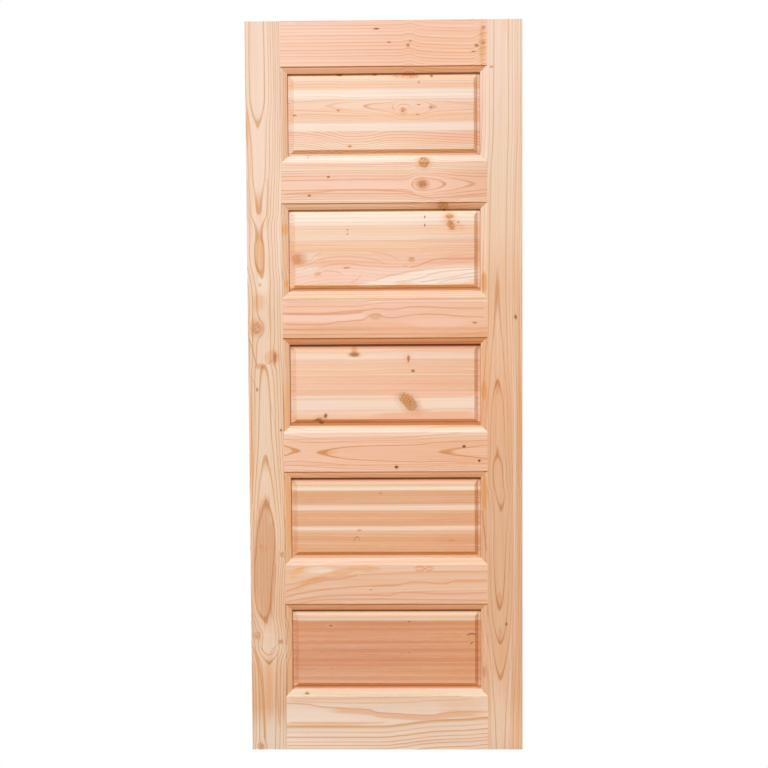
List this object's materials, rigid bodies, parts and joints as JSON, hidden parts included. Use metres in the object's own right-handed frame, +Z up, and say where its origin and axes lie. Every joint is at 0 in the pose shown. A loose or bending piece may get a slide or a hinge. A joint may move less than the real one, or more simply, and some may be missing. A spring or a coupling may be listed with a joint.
{
  "type": "panel door",
  "caption": "Solid softwood door leaf: two moulded stiles and six rails hold a column of raised and fielded panels, with no hinge, lock or frame.",
  "frame": {"origin": "on the hinge edge, at the foot of the leaf, in the middle of its thickness", "axes": "+X from the hinge edge to the lock edge, +Y from the front face to the back face, +Z up"},
  "size_m": [0.762, 0.035, 2.032],
  "materials": {
    "stile_wood": "sanded, unfinished pale softwood",
    "rail_wood": "sanded, unfinished pinkish softwood",
    "panel_wood": "sanded, unfinished softwood",
    "red_panel_wood": "sanded, unfinished reddish heartwood"
  },
  "bodies": {
    "root": {"hinge_stile": "stile_wood", "lock_stile": "stile_wood", "top_rail": "rail_wood", "second_rail": "rail_wood", "third_rail": "rail_wood", "fourth_rail": "rail_wood", "fifth_rail": "rail_wood", "bottom_rail": "rail_wood", "panel_1_board_1": "panel_wood", "panel_1_board_2": "panel_wood", "panel_1_board_3": "panel_wood", "panel_2_board_1": "panel_wood", "panel_2_board_2": "panel_wood", "panel_2_board_3": "panel_wood", "panel_3_board_1": "panel_wood", "panel_3_board_2": "panel_wood", "panel_3_board_3": "panel_wood", "panel_4_board_1": "panel_wood", "panel_4_board_2": "panel_wood", "panel_4_board_3": "panel_wood", "panel_4_board_4": "panel_wood", "panel_5_board_1": "panel_wood", "panel_5_board_2": "red_panel_wood", "panel_5_board_3": "red_panel_wood"}
  },
  "joints": []
}
